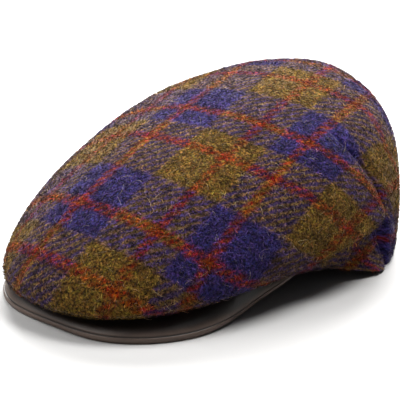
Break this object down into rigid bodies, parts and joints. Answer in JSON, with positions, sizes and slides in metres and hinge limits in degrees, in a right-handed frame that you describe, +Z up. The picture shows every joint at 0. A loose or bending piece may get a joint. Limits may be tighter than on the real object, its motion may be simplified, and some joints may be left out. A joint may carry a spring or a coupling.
{
  "type": "flat cap",
  "caption": "Flat cap with a one-piece checked wool tweed crown, back darts, creased sides and a leather peak under the front fold.",
  "frame": {"origin": "middle of the cap's plan, on the surface it stands on", "axes": "+Z up, -Y towards the front of the peak, +X towards the wearer's left"},
  "size_m": [0.1996, 0.2774, 0.1077],
  "materials": {
    "tweed": "brushed wool tweed in a large blue, olive and red check",
    "leather": "dark brown grained leather, satin"
  },
  "bodies": {
    "root": {"crown": "tweed", "peak": "leather"}
  },
  "joints": []
}
